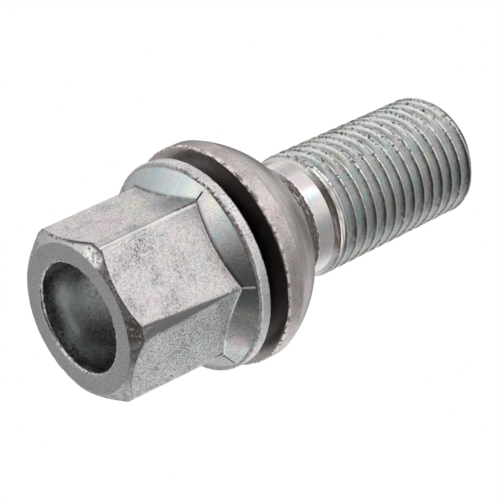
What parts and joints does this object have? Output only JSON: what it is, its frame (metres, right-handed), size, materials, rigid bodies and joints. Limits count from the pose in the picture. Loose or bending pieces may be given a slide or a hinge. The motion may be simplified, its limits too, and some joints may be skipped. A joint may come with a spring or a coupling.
{
  "type": "wheel bolt",
  "caption": "Hexagon wheel bolt with a hollow head, a flange and a threaded shank, carrying a loose ring whose ball-shaped face seats in the wheel.",
  "frame": {"origin": "on the bolt's axis in the plane of the head's end face, on which it stands", "axes": "+Z along the bolt's axis from the head towards the thread's tip; two opposite corners of the hexagon lie on the X axis and two flats face +Y and -Y"},
  "size_m": [0.0242, 0.0242, 0.0516],
  "materials": {
    "zinc_plated_steel": "clear-passivated zinc plating, satin, with worn and dented edges",
    "bare_turned_steel": "turned steel, fine tooling lines, lightly stained"
  },
  "bodies": {
    "bolt": {"bolt": "zinc_plated_steel"},
    "seat_ring": {"seat_ring": "bare_turned_steel"}
  },
  "joints": [
    {"name": "ring_slide", "type": "slide", "parent": "bolt", "child": "seat_ring", "axis": [0, 0, 1], "range_m": [0, 0.0045]}
  ]
}
